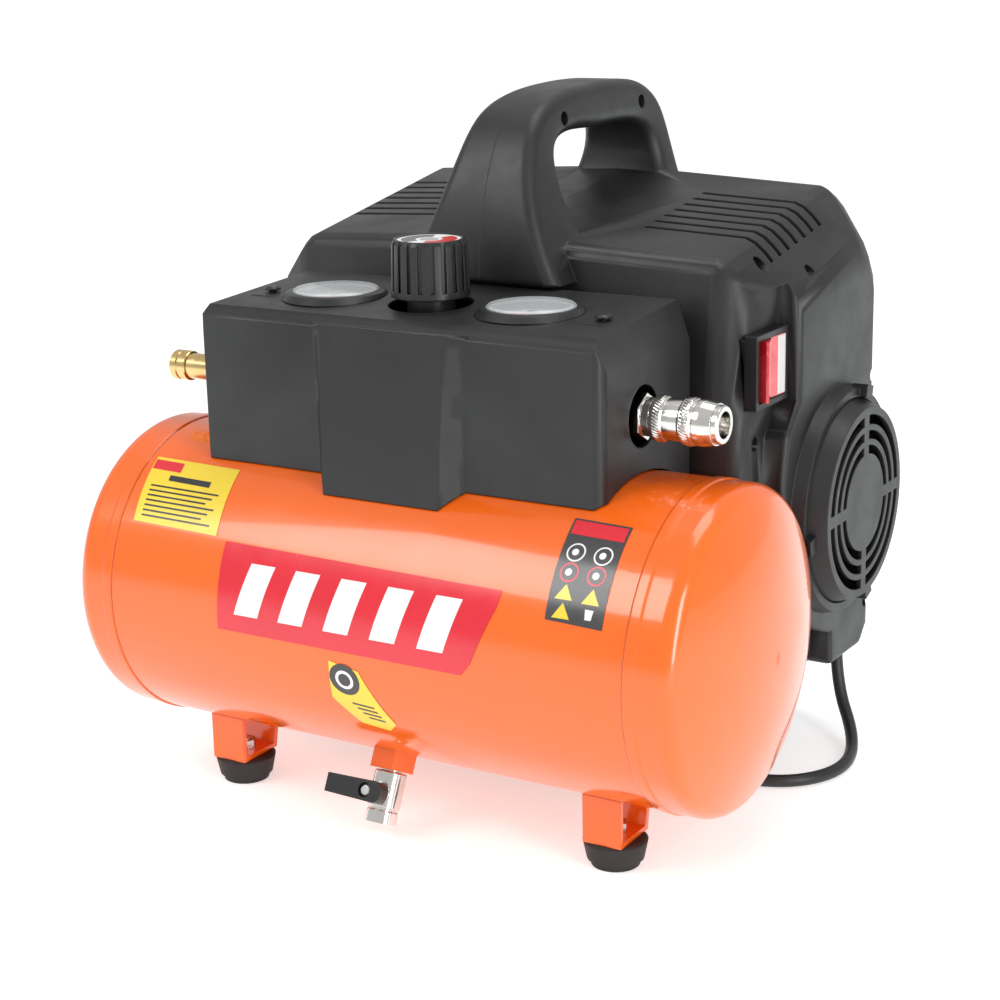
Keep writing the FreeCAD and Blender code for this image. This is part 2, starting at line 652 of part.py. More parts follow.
def handle_half():
    """One half of the carrying handle, with round edges and legs that flare out onto the roof."""
    outer = smooth_face([Vector(0, y, z) for y, z in HANDLE_OUTER]).extrude(Vector(60, 0, 0))
    gap = smooth_face([Vector(0, y, z) for y, z in HANDLE_GAP]).extrude(Vector(60, 0, 0))
    edge = [Vector(x, 0, z) for x, z in HANDLE_HALF]
    face = smooth_face(edge, Vector(0, 0, edge[-1].z), Vector(0, 0, edge[0].z))
    half = outer.cut(gap).common(face.extrude(Vector(0, 300, 0))).Solids[0]
    curved = [piece for piece in half.Faces if not isinstance(piece.Surface, Part.Plane)]
    rims = [rim for rim in half.Edges if sum(rim.isSame(e) for piece in curved for e in piece.Edges) == 2]
    return half.makeFillet(HANDLE_ROUND, rims)


def handle_hollow(inset):
    """The space inside that half, a little over the given wall away from its faces."""
    inset += HOLLOW_MARGIN
    outer = Part.Face(Part.makePolygon([Vector(0, y, z) for y, z in HANDLE_OUTER + HANDLE_OUTER[:1]]))
    gap = Part.Face(Part.makePolygon([Vector(0, y, z) for y, z in HANDLE_GAP + HANDLE_GAP[:1]]))
    side = outer.makeOffset2D(-inset).extrude(Vector(60, 0, 0)).cut(
        gap.makeOffset2D(inset).extrude(Vector(60, 0, 0)))
    edge = [(0, HANDLE_HALF[-1][1]), (0, 152)] + [(x - inset, z - inset) for x, z in HANDLE_HALF]
    face = Part.Face(Part.makePolygon([Vector(x, 0, z) for x, z in edge + edge[:1]]))
    return side.common(face.extrude(Vector(0, 300, 0)))


SLOT_COUNT = 7


def slot_cutters():
    pieces = []
    for i in range(SLOT_COUNT):
        y = 105.0 + 9.7 * i
        start = 60.0 + 0.6 * i
        pieces.append(Part.makeBox(129.0 - start, 3.4, 60.0, Vector(start, y - 1.7, 158.0)))
    return pieces


SCREW_SPOTS = [  # (y, z, how far in the head sits)
    (95.0, 160.0, 24.0), (97.0, 225.5, 8.0), (180.0, 227.5, 8.0), (128.0, 152.0, 120.0),
    (78.0, 76.0, 118.0), (199.0, 88.0, 118.0), (196.0, -35.0, 118.0), (98.0, -35.0, 118.0)]


def along_x(radius, start, end, y, z):
    return Part.makeCylinder(radius, end - start, Vector(start, y, z), Vector(1, 0, 0))


def half_shell(is_right):
    """One half of the housing, hollow, as drawn on the right of the middle."""
    wall = float(S.skin)
    outer, inner = shell_loft(0.0, 0.0), shell_loft(wall, -1.0)
    fan_y, fan_z = float(S.fan_y), float(S.fan_z)
    if is_right:
        outer, inner = outer.cut(side_step(0.0)), inner.cut(side_step(wall))
    shell = outer.cut(inner).fuse(handle_half().cut(outer.common(inner))).cut(handle_hollow(wall))
    for slot in slot_cutters():
        shell = shell.cut(slot)
    for y, z, depth in SCREW_SPOTS:
        if depth > 100.0:
            pillar = along_x(5.0, 0.0, 150.0, y, z).common(outer)
            shell = shell.fuse(pillar).cut(along_x(1.6, -1.0, depth + 1.0, y, z))
        shell = shell.cut(along_x(3.6, depth, 160.0, y, z))
    shell = shell.cut(Part.makeBox(96.0, 101.0, 8.0, Vector(-1, 101, float(S.shell_floor) - 4)))
    if is_right:
        drum = Part.makeCone(60.0, 57.0, 9.0, Vector(143, fan_y, fan_z), Vector(1, 0, 0))
        drum = drum.fuse(along_x(60.0, 112.0, 143.0, fan_y, fan_z))
        shell = shell.fuse(drum.cut(shell)).cut(along_x(53.0, 100.0, 160.0, fan_y, fan_z))
        for degrees in (5, 75, 190, 290):
            tab = Part.makeBox(8.0, 6.5, 8.0, Vector(148.0, 53.0, -4.0))
            tab.rotate(Vector(0, 0, 0), Vector(1, 0, 0), degrees)
            tab.translate(Vector(0, fan_y, fan_z))
            shell = shell.fuse(tab)
        shell = shell.cut(Part.makeBox(30.0, 31.4, 31.4, Vector(120.0, 67.3, 97.3)))
        lead = [float(part) for part in LEAD_EXIT]
        shell = shell.cut(Part.makeCylinder(5.5, 10.0, Vector(lead[0], lead[1], -62.0)))
    else:
        shell = shell.mirror(Vector(0, 0, 0), Vector(1, 0, 0))
        port_y, port_z = [float(part) for part in radial_spot(80.0)]
        turn = Vector(0, math.cos(CHECK_RISE), math.sin(CHECK_RISE))
        shell = shell.cut(Part.makeCylinder(10.0, 20.0, Vector(float(S.pump_x), port_y, port_z), turn))
    return shell.removeSplitter()


def make_housing():
    keep(solid_of(half_shell(False)), "housing_left_shell")
    keep(solid_of(half_shell(True)), "housing_right_shell")
    screws = []
    for y, z, depth in SCREW_SPOTS:
        if depth > 100.0:
            head = turned("screw", [
                (0, depth - 22.0), (1.4, depth - 22.0), (1.4, depth), (3.2, depth), (3.2, depth + 2.2), (0, depth + 3)])
            screws.append(place(head, 0, y, z, ALONG_X))
    for sign in (-1, 1):
        head = turned("screw", [
            (0, 132.0), (1.8, 132.0), (1.8, 146.8), (4.0, 147.4), (4.0, 148.2), (2.6, 149.2), (0, 149.2)])
        screws.append(place(head, 93.0 * sign, 1.0))
    keep(group(*screws), "cover_screws")


def make_fan_guard():
    y, z, face = S.fan_y, S.fan_z, S.guard_face
    cup = turned("cup", [
        (51.0, 140.0), (52.9, 140.0), (52.9, 150.0), (S.guard_radius, face), (0, face), (0, face - 2.5),
        (S.guard_radius - 2.5, face - 2.5), (51.0, 149.0)])
    cup = place(cup, 0, y, z, ALONG_X)
    slots = [place(ring("slot", low, high, face - 5, face + 1), 0, y, z, ALONG_X)
             for low, high in ((25.0, 29.5), (32.5, 37.0), (40.0, 45.0))]
    upright = block((face - 6, y - 3, z - 60), (face + 2, y + 3, z + 60))
    level = block((face - 6, y - 60, z - 3), (face + 2, y + 60, z + 3))
    keep(cut(cup, cut(group(*slots), upright, level)), "fan_guard")


# ---- motor and pump ----------------------------------------------------------------------------

def on_shaft(thing):
    return place(thing, 0, S.fan_y, S.fan_z, ALONG_X)


def make_motor():
    keep(on_shaft(ring("stator", 25.4, 46.0, -5.0, 40.0)), "motor_stator")
    windings = [on_shaft(ring("winding", 27.0, 40.0, low, low + 14)) for low in (-19.0, 40.0)]
    keep(group(*windings), "motor_windings")
    keep(on_shaft(ring("rotor", 6.0, 25.0, -5.0, 40.0)), "motor_rotor")
    keep(on_shaft(turned("shaft", [(0, -58.0), (6.0, -58.0), (6.0, 128.0), (5.0, 132.0), (0, 132.0)])),
         "motor_shaft")
    bearings = [on_shaft(ring("bearing", 6.06, 16.0, low, low + 11)) for low in (-40.0, 60.0)]
    keep(group(*bearings), "motor_bearings")
    bracket = turned("bracket", [
        (16.0, 60.0), (16.0, 72.0), (21.0, 72.0), (21.0, 63.0), (46.0, 60.0), (46.0, 40.0), (42.0, 40.0),
        (42.0, 57.0)])
    keep(on_shaft(bracket), "motor_end_bracket")

    hub = on_shaft(ring("hub", 6.0, 12.0, 106.0, 126.0))
    blades = []
    for i in range(7):
        blade = doc.addObject("Part::Box", "Blade")
        for side, length in (("Length", 22.0), ("Width", 2.0), ("Height", 38.0)):
            bind(blade, side, length)
        around = Rotation(Vector(1, 0, 0), 360.0 * i / 7)
        turn = around.multiply(Rotation(Vector(0, 0, 1), 38))
        offset = turn.multVec(Vector(-11.0, -1.0, 10.0))
        blades.append(place(blade, 116.0 + offset.x, S.fan_y + offset.y, S.fan_z + offset.z, turn))
    keep(fuse(hub, *blades), "cooling_fan")


def make_pump():
    y, z, x = S.fan_y, S.fan_z, S.pump_x
    top = z + 50
    casing = on_shaft(turned("casing", [
        (16.0, -40.5), (16.0, -29.0), (21.0, -29.0), (21.0, -32.0), (42.0, -24.0), (42.0, -5.0), (46.0, -5.0),
        (46.0, -26.0), (38.0, -40.0), (38.0, -100.0), (20.0, -104.0), (20.0, -100.0), (34.0, -97.0),
        (34.0, -44.0)]))
    tower = cut(place(round_bar(31.0, 50.0), x, y, z), on_shaft(ring("room", 0, 34.0, -97.0, -44.0)))
    bore = place(round_bar(26.0, 60.0), x, y, z)
    keep(cut(fuse(casing, tower), bore), "crankcase")
    fins = [place(ring("fin", 27.0, 33.0, top + 5 + 7 * i, top + 7 + 7 * i), x, y) for i in range(5)]
    keep(fuse(place(ring("sleeve", S.cylinder_bore, 28.0, top, top + 40), x, y), *fins), "pump_cylinder")
    deck = top + 40
    plate = block((x - 31, y - 31, deck), (x + 31, y + 31, deck + 3))
    keep(cut(plate, place(round_bar(3.0, 9.0), x - 12, y, deck - 3),
             place(round_bar(3.0, 9.0), x + 12, y, deck - 3)), "valve_plate")
    head = block((x - 30, y - 30, deck + 3), (x + 30, y + 30, deck + 19))
    rooms = [block((x - 26, y - 26, deck + 2), (x - 1.5, y + 26, deck + 16)),
             block((x + 1.5, y - 26, deck + 2), (x + 26, y + 26, deck + 16))]
    outlet = place(round_bar(3.5, 12.0), x - 12, y - 36, deck + 10, ALONG_Y)
    inlet = place(round_bar(5.0, 12.0), x + 12, y + 22, deck + 10, ALONG_Y)
    keep(cut(head, *rooms, outlet, inlet), "cylinder_head")
    keep(place(round_bar(6.5, 20.0), x + 12, y + 30, deck + 10, ALONG_Y), "intake_filter")

    pin_z = z - S.crank_throw
    big_end = place(ring("big_end", 5.0, 12.0, -6.0, 6.0), x, y, pin_z, ALONG_X)
    rod = block((x - 5, y - 6, pin_z + 10), (x + 5, y + 6, deck - 24))
    crown = place(ring("crown", 0, S.cylinder_bore - 0.05, deck - 25, deck - 17), x, y)
    keep(fuse(big_end, rod, crown), "pump_piston")
    web = on_shaft(ring("web", 0, 18.0, -68.0, -58.0))
    weight = block((x + 10, y - 22, z + 4), (x + 20, y + 22, z + 26))
    weight = common(weight, on_shaft(ring("sweep", 0, 26.0, -70.0, -50.0)))
    pin = place(round_bar(4.0, 3.7), x + 6.3, y, pin_z, ALONG_X)
    keep(fuse(web, weight, pin), "pump_crank")


CHECK_RISE = math.radians(30)


def radial_spot(distance):
    """Where the check valve's axis is at a distance from the tank's axis, as (y, z)."""
    return distance * math.cos(CHECK_RISE), distance * math.sin(CHECK_RISE)


def make_air_line():
    path = [(8.0, 70.0), (8.0, 92.0), (6.5, 94.0), (6.5, 106.0), (3.5, 106.0), (3.5, 70.0)]
    valve = place(turned("valve", path), S.pump_x, 0, 0, Rotation(Vector(1, 0, 0), -60))
    keep(cut(valve, tank_core(S.tank_radius)), "check_valve")
    x = float(S.pump_x)
    high = float(S.fan_z) + 100
    tip, turn_at = radial_spot(106.0), radial_spot(118.0)
    route = [(x, *tip), (x, *turn_at), (x - 4, 104, 90), (x - 12, 104, high), (x - 12, 123, high)]
    keep(solid_of(swept(route, 3.3)), "delivery_tube")


def make_mounts():
    y, z = S.fan_y, S.fan_z
    spots = [(-84.0, 112.0), (-84.0, 190.0), (56.0, 112.0), (56.0, 190.0)]
    rubbers = []
    for x, spot_y in spots:
        rubber = turned("isolator", [(0, 0), (9.0, 0), (7.0, 6.0), (9.0, 12.0), (0, 12.0)])
        rubbers.append(place(rubber, x, spot_y, S.tray_top))
    keep(group(*rubbers), "motor_isolators")
    bed = S.tray_top + 12
    plate = block((-94.0, y - 50, bed), (66.0, y + 46, bed + 3))
    saddles = [block((low, y - 34, bed + 3), (low + 6, y + 34, z - 16)) for low in (2.0, 28.0, -92.0, -60.0)]
    bodies = on_shaft(ring("bodies", 0, 46.0, -6.0, 45.0)), on_shaft(ring("bodies", 0, 38.0, -104.0, -45.0))
    keep(cut(fuse(plate, *saddles), *bodies), "motor_cradle")


# ---- switch ------------------------------------------------------------------------------------

SWITCH_Y = 83.0
SWITCH_Z = 113.0
ROCKER_LEAN = 8.0


def make_switch():
    x, y, z = SIDE_STEP, SWITCH_Y, SWITCH_Z
    flange = block((x, y - 18, z - 18), (x + 6.5, y + 18, z + 18))
    body = block((x - 20, y - 15.5, z - 15.5), (x, y + 15.5, z + 15.5))
    room = block((x - 17, y - 15, z - 15), (x + 10, y + 15, z + 15))
    axle = place(round_bar(1.56, 34.0), x + 1, y, z - 17)
    keep(cut(fuse(flange, body), room, axle), "switch_frame")
    profile = [(-4.0, -8.0), (6.0, -13.4), (7.4, -13.2), (4.6, 0), (7.4, 13.2), (6.0, 13.4), (-4.0, 8.0)]
    rocker = flat("rocker", "XY_Plane", profile, 29.4, middle=True)
    pivot = round_bar(1.5, 31.0)
    turn = Rotation(Vector(0, 0, 1), ROCKER_LEAN)
    keep(fuse(place(rocker, x + 1, y, z, turn), place(pivot, x + 1, y, z - 15.5)), "switch_rocker")


# ---- mains lead --------------------------------------------------------------------------------

FLOOR_Z = S.cord_radius - S.tank_z
LEAD_EXIT = (134.0, 183.0)
COIL_X, COIL_Y, COIL_RADIUS, COIL_LAYERS = 20.0, 150.0, 36.0, 3
LEAD_ROUTE = [
    (*LEAD_EXIT, -42.0), (*LEAD_EXIT, -77.0), (155.0, 163.0, FLOOR_Z), (164.0, 122.0, FLOOR_Z),
    (143.0, 93.0, FLOOR_Z), (105.0, 90.0, FLOOR_Z), (66.0, 104.0, FLOOR_Z), (31.0, 115.0, FLOOR_Z)]


def swept(route, radius):
    """A round bar along straight runs joined by tangent arcs, printing the arcs' radii."""
    points = [Vector(*[float(part) for part in point]) for point in route]
    edges, radii, at = [], [], points[0]
    for before, corner, after in zip(points, points[1:], points[2:]):
        back, ahead = (before - corner), (after - corner)
        shorter = min(back.Length, ahead.Length)
        back.normalize()
        ahead.normalize()
        half_turn = (math.pi - back.getAngle(ahead)) / 2
        setback = 0.45 * shorter
        bend = setback / math.tan(half_turn)
        radii.append(round(bend, 1))
        start, end = corner + back * setback, corner + ahead * setback
        towards = (back + ahead).normalize()
        middle = corner + towards * (bend / math.cos(half_turn) - bend)
        edges.append(Part.LineSegment(at, start).toShape())
        edges.append(Part.Arc(start, middle, end).toShape())
        at = end
    edges.append(Part.LineSegment(at, points[-1]).toShape())
    wire = Part.Wire(edges)
    section = Part.Wire(Part.makeCircle(radius, points[0], points[1] - points[0]))
    bar = wire.makePipeShell([section], True, False)
    expected = math.pi * radius ** 2 * wire.Length
    print("swept length", round(wire.Length, 1), "radii", radii, "volume ratio",
          round(bar.Volume / expected, 4))
    return bar


def make_lead():
    x, y = LEAD_EXIT
    radius = S.cord_radius
    relief = turned("relief", [
        (radius, -61.0), (4.6, -61.0), (5.2, -55.3), (7.2, -55.3), (7.2, -52.0), (radius, -52.0)])
    keep(place(relief, x, y), "lead_strain_relief")
    low = -S.tank_z
    coil = ring("coil", COIL_RADIUS - radius * 2, COIL_RADIUS + radius * 2, low, low + radius * 2 * COIL_LAYERS)
    coil = keep(place(coil, COIL_X, COIL_Y), "lead_coil")
    keep(cut(solid_of(swept(LEAD_ROUTE, float(radius))), coil), "lead_tube")
    plug = turned("plug", [
        (0, 28.0), (4.2, 28.0), (6.5, 56.0), (12.0, 58.0), (18.0, 66.0), (18.0, 80.0), (16.5, 82.0), (16.5, 90.0),
        (0, 90.0)])
    plug = place(plug, COIL_X, COIL_Y - COIL_RADIUS, low + 18.0, ALONG_MINUS_X)
    pins = [place(round_bar(2.4, 19.0), COIL_X - 90.0, COIL_Y - COIL_RADIUS + side, low + 18.0, ALONG_MINUS_X)
            for side in (-9.5, 9.5)]
    keep(cut(fuse(plug, *pins), coil), "lead_plug")


# ---- build, check and export -------------------------------------------------------------------

for make in (make_tank, make_feet, make_tray, make_drain, make_console, make_gauges, make_regulator,
             make_air_fittings, make_housing, make_fan_guard, make_motor, make_pump, make_air_line,
             make_mounts, make_switch, make_lead):
    make()
    doc.recompute()

for item in doc.Objects:
    if any(flag in item.State for flag in ("Invalid", "Error")):
        raise RuntimeError(f"{item.Label} failed: {item.State}")

os.makedirs("parts", exist_ok=True)
for part in PARTS:
    shape = part.Shape
    if shape.isNull() or not shape.isValid() or not shape.Solids:
        raise RuntimeError(f"{part.Label} has no valid solid")
    shape.exportStep(f"parts/{part.Label}.step")
    print(part.Label, len(shape.Solids), round(shape.Volume), "%.0f %.0f %.0f to %.0f %.0f %.0f" % (
        shape.BoundBox.XMin, shape.BoundBox.YMin, shape.BoundBox.ZMin,
        shape.BoundBox.XMax, shape.BoundBox.YMax, shape.BoundBox.ZMax))
print(len(PARTS), "parts")
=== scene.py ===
"""Looks of the air compressor: materials, labels, gauge faces, rounded mouldings and mains lead."""
import bpy
import bmesh
import json
import math
from mathutils import Matrix, Vector


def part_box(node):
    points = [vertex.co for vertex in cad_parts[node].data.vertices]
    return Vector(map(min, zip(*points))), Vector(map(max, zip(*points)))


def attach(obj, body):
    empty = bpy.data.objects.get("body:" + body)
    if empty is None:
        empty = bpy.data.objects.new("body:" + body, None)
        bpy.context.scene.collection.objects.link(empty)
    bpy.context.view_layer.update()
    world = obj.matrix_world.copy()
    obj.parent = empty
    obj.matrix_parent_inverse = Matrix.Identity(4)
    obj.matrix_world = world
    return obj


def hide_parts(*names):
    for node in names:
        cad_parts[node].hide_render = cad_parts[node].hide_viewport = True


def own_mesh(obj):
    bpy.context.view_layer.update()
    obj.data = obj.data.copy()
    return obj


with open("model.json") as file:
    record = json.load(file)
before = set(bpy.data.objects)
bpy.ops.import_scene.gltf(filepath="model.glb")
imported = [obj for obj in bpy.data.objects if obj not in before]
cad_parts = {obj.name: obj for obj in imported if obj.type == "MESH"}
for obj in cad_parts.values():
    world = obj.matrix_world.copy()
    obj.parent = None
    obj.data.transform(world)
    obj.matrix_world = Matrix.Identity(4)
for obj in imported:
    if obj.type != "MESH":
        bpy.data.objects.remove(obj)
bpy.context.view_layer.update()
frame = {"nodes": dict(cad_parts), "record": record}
NODES = frame["nodes"]
MM = 0.001

BEAD_HEIGHT = 0.7 * MM      # the weld bead stands this far out of the tank
end_low, end_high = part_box("tank_end_right")
TANK_Y = (end_low[1] + end_high[1]) / 2
TANK_Z = (end_low[2] + end_high[2]) / 2
TANK_RADIUS = (end_high[1] - end_low[1]) / 2 - BEAD_HEIGHT

# the upper part of the handle is already rounded in its own shape, so the shells get no rounding there
HANDLE_DEPTH = 46 * MM
ROUNDED_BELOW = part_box("housing_right_shell")[1][2] - HANDLE_DEPTH


def box_centre(node):
    low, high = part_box(node)
    return (Vector(low) + Vector(high)) / 2


# ---- camera, light and floor -------------------------------------------------------------------

CAMERA_PLACE = (0.53589, -0.88055, 0.42510)
CAMERA_AZIMUTH, CAMERA_ELEVATION, CAMERA_ROLL = 31.56, 15.42, -1.28      # degrees


def make_camera():
    azimuth, elevation, roll = map(math.radians, (CAMERA_AZIMUTH, CAMERA_ELEVATION, CAMERA_ROLL))
    back = Vector((math.sin(azimuth) * math.cos(elevation), -math.cos(azimuth) * math.cos(elevation),
                   math.sin(elevation)))
    level = Vector((math.cos(azimuth), math.sin(azimuth), 0))
    upward = back.cross(level)
    right = level * math.cos(roll) + upward * math.sin(roll)
    above = upward * math.cos(roll) - level * math.sin(roll)
    lens = bpy.data.cameras.new("camera")
    lens.lens = 75.0
    lens.sensor_width = 36.0
    lens.clip_start = 0.05
    camera = bpy.data.objects.new("camera", lens)
    turned = Matrix((right, above, back)).transposed().to_4x4()
    camera.matrix_world = Matrix.Translation(CAMERA_PLACE) @ turned
    bpy.context.scene.collection.objects.link(camera)
    bpy.context.scene.camera = camera


def area_light(name, at, towards, size, power):
    lamp = bpy.data.lights.new(name, "AREA")
    lamp.shape = "RECTANGLE"
    lamp.size, lamp.size_y = size
    lamp.energy = power
    light = bpy.data.objects.new(name, lamp)
    light.location = at
    light.rotation_euler = (Vector(towards) - Vector(at)).to_track_quat("-Z", "Y").to_euler()
    bpy.context.scene.collection.objects.link(light)


def make_light():
    world = bpy.data.worlds.new("studio")
    world.use_nodes = True
    sky = world.node_tree.nodes["Background"]
    sky.inputs["Color"].default_value = (1, 1, 1, 1)
    sky.inputs["Strength"].default_value = 0.6
    bpy.context.scene.world = world
    middle = (0, 0, 0.15)
    area_light("key", (-0.9, -1.3, 1.5), middle, (0.9, 0.9), 13)
    area_light("side", (1.5, -0.7, 0.6), middle, (0.35, 1.1), 12)
    area_light("top", (0.1, 0.3, 1.8), middle, (1.2, 0.8), 9)
    bpy.context.scene.view_settings.view_transform = "Standard"


def make_floor():
    bpy.ops.mesh.primitive_plane_add(size=80, location=(0, 0, -0.0002))
    floor = bpy.context.object
    floor.name = "floor"
    white = bpy.data.materials.new("floor_white")
    white.use_nodes = True
    shader = white.node_tree.nodes["Principled BSDF"]
    shader.inputs["Base Color"].default_value = (0.78, 0.87, 0.88, 1)
    shader.inputs["Roughness"].default_value = 0.7
    shader.inputs["Specular IOR Level"].default_value = 0.2
    shader.inputs["Emission Color"].default_value = (1, 0.94, 0.93, 1)
    shader.inputs["Emission Strength"].default_value = 0.56
    floor.data.materials.append(white)


# ---- materials ---------------------------------------------------------------------------------

class Finish:
    """A Principled material that is built up from small procedural steps."""

    def __init__(self, name, colour, rough=0.5, metal=0.0, **extra):
        self.material = bpy.data.materials.new(name)
        self.material.use_nodes = True
        self.nodes = self.material.node_tree.nodes
        self.links = self.material.node_tree.links
        self.shader = self.nodes["Principled BSDF"]
        self.base = (*colour, 1)
        self.shader.inputs["Base Color"].default_value = self.base
        self.shader.inputs["Roughness"].default_value = rough
        self.shader.inputs["Metallic"].default_value = metal
        for socket, value in extra.items():
            self.shader.inputs[socket.replace("_", " ")].default_value = value
        self.rough = rough
        self.place = self.nodes.new("ShaderNodeTexCoord").outputs["Object"]
        self.normal = None
        self.colour = None

    def noise(self, scale, detail=4.0, roughness=0.55, stretch=None):
        place = self.place
        if stretch:
            mapping = self.nodes.new("ShaderNodeMapping")
            mapping.inputs["Scale"].default_value = stretch
            self.links.new(place, mapping.inputs["Vector"])
            place = mapping.outputs["Vector"]
        noise = self.nodes.new("ShaderNodeTexNoise")
        noise.inputs["Scale"].default_value = scale
        noise.inputs["Detail"].default_value = detail
        noise.inputs["Roughness"].default_value = roughness
        self.links.new(place, noise.inputs["Vector"])
        return noise.outputs["Fac"]

    def ramp(self, factor, low, high, start=0.35, end=0.65):
        ramp = self.nodes.new("ShaderNodeMapRange")
        ramp.inputs["From Min"].default_value = start
        ramp.inputs["From Max"].default_value = end
        ramp.inputs["To Min"].default_value = low
        ramp.inputs["To Max"].default_value = high
        self.links.new(factor, ramp.inputs["Value"])
        return ramp.outputs["Result"]

    def tint(self, other, share):
        """Mix the colour with another one, by a share that varies over the surface."""
        mix = self.nodes.new("ShaderNodeMix")
        mix.data_type = "RGBA"
        if self.colour is None:
            mix.inputs["A"].default_value = self.base
        else:
            self.links.new(self.colour, mix.inputs["A"])
        mix.inputs["B"].default_value = (*other, 1)
        self.links.new(share, mix.inputs["Factor"])
        self.colour = mix.outputs["Result"]
        self.links.new(self.colour, self.shader.inputs["Base Color"])
        return self

    def mottle(self, scale, other, amount):
        """Vary the colour towards another one in soft patches."""
        return self.tint(other, self.ramp(self.noise(scale), 0.0, amount))

    def uneven_gloss(self, scale, spread, stretch=None):
        patches = self.noise(scale, 6.0, stretch=stretch)
        rough = self.ramp(patches, self.rough - spread, self.rough + spread, 0.3, 0.7)
        self.links.new(rough, self.shader.inputs["Roughness"])
        return self

    def grain(self, scale, depth, strength, detail=3.0, stretch=None):
        """A fine relief, with its depth in metres."""
        bump = self.nodes.new("ShaderNodeBump")
        bump.inputs["Strength"].default_value = strength
        bump.inputs["Distance"].default_value = depth
        self.links.new(self.noise(scale, detail, stretch=stretch), bump.inputs["Height"])
        if self.normal is not None:
            self.links.new(self.normal, bump.inputs["Normal"])
        self.normal = bump.outputs["Normal"]
        self.links.new(self.normal, self.shader.inputs["Normal"])
        return self

    def rounded_normal(self, radius):
        bevel = self.nodes.new("ShaderNodeBevel")
        bevel.samples = 4
        bevel.inputs["Radius"].default_value = radius
        return bevel.outputs["Normal"]

    def soft_edges(self, radius):
        """Shade sharp edges as if they were rounded."""
        self.normal = self.rounded_normal(radius)
        self.links.new(self.normal, self.shader.inputs["Normal"])
        return self

    def worn_edges(self, radius, other, amount):
        """Lighten the colour along edges, where handling wears the surface."""
        true_normal = self.nodes.new("ShaderNodeNewGeometry").outputs["Normal"]
        agreement = self.nodes.new("ShaderNodeVectorMath")
        agreement.operation = "DOT_PRODUCT"
        self.links.new(self.rounded_normal(radius), agreement.inputs[0])
        self.links.new(true_normal, agreement.inputs[1])
        return self.tint(other, self.ramp(agreement.outputs["Value"], amount, 0.0, 0.90, 0.99))


def darker(colour, share):
    return tuple(part * share for part in colour)


def paint(name, colour, rough):
    """Glossy powder coat with a faint orange-peel relief."""
    finish = Finish(name, colour, rough, Coat_Weight=0.6, Coat_Roughness=0.06).soft_edges(1.2 * MM)
    finish.mottle(9, darker(colour, 0.86), 0.5)
    return finish.grain(260, 0.4 * MM, strength=0.12, detail=2.0).uneven_gloss(40, 0.05)


def moulding(name, colour, rough, grain=0.12 * MM):
    """Fine-grained moulded plastic or rubber, paler along its edges."""
    pale = tuple(part * 1.5 + 0.01 for part in colour)
    finish = Finish(name, colour, rough).soft_edges(0.9 * MM).mottle(14, pale, 0.35)
    finish.worn_edges(1.2 * MM, pale, 0.5)
    return finish.grain(1500, grain, strength=0.35, detail=2.0).uneven_gloss(60, 0.06)


def metal(name, colour, rough, stretch=None):
    """Bare metal; a stretch of (60, 1, 1) draws its grain as fine lines square to X."""
    finish = Finish(name, colour, rough, 1.0).soft_edges(0.4 * MM).mottle(60, darker(colour, 0.8), 0.5)
    finish.grain(900, 0.03 * MM, strength=0.4, detail=4.0, stretch=stretch)
    return finish.uneven_gloss(150, rough * 0.4, stretch)


def make_materials():
    orange = paint("tank_paint", (0.90, 0.135, 0.004), 0.22)
    black_paint = paint("dark_paint", (0.018, 0.018, 0.02), 0.38)
    housing = moulding("housing_plastic", (0.011, 0.0108, 0.0118), 0.42, 0.16 * MM)
    black = moulding("black_plastic", (0.009, 0.009, 0.010), 0.35)
    rubber = moulding("foot_rubber", (0.010, 0.010, 0.010), 0.62, 0.2 * MM)
    lead = moulding("lead_rubber", (0.016, 0.016, 0.017), 0.42, 0.1 * MM)
    zinc = metal("zinc_steel", (0.60, 0.60, 0.58), 0.3)
    nickel = metal("nickel", (0.83, 0.81, 0.77), 0.14)
    brass = metal("brass", (0.80, 0.58, 0.26), 0.24)
    cast = metal("cast_aluminium", (0.50, 0.50, 0.51), 0.5)
    iron = metal("iron", (0.20, 0.20, 0.21), 0.5, (60, 1, 1))
    copper = metal("copper", (0.62, 0.26, 0.10), 0.35, (60, 1, 1))
    white = Finish("dial_white", (0.86, 0.86, 0.84), 0.4)
    white.mottle(30, (0.78, 0.78, 0.75), 0.5).grain(600, 0.02 * MM, 0.2)
    red = Finish("needle_red", (0.65, 0.02, 0.012), 0.35)
    red.mottle(200, (0.5, 0.01, 0.01), 0.5).grain(800, 0.02 * MM, 0.2)
    rocker = Finish("rocker_red", (0.62, 0.012, 0.02), 0.12, Coat_Weight=0.8)
    rocker.soft_edges(0.8 * MM).mottle(80, (0.85, 0.10, 0.12), 0.6).grain(500, 0.03 * MM, 0.2)
    glass = Finish("gauge_glass", (0.92, 0.95, 0.96), 0.06, Alpha=0.4)
    glass.mottle(25, (0.9, 0.93, 0.94), 0.5).grain(90, 0.05 * MM, 0.25, 2.0)
    finishes = {
        "tank_paint": orange, "dark_paint": black_paint, "housing_plastic": housing, "black_plastic": black,
        "foot_rubber": rubber, "lead_rubber": lead, "zinc_steel": zinc, "nickel": nickel, "brass": brass,
        "cast_aluminium": cast, "iron": iron, "copper": copper, "dial_white": white, "needle_red": red,
        "rocker_red": rocker, "gauge_glass": glass}
    return {name: finish.material for name, finish in finishes.items()}


def dress_nodes(materials):
    for part in frame["record"]["subparts"]:
        for place in NODES[part["node"]].material_slots:
            place.link = "OBJECT"
            place.material = materials[part["material_slot"]]


# ---- mesh helpers ------------------------------------------------------------------------------

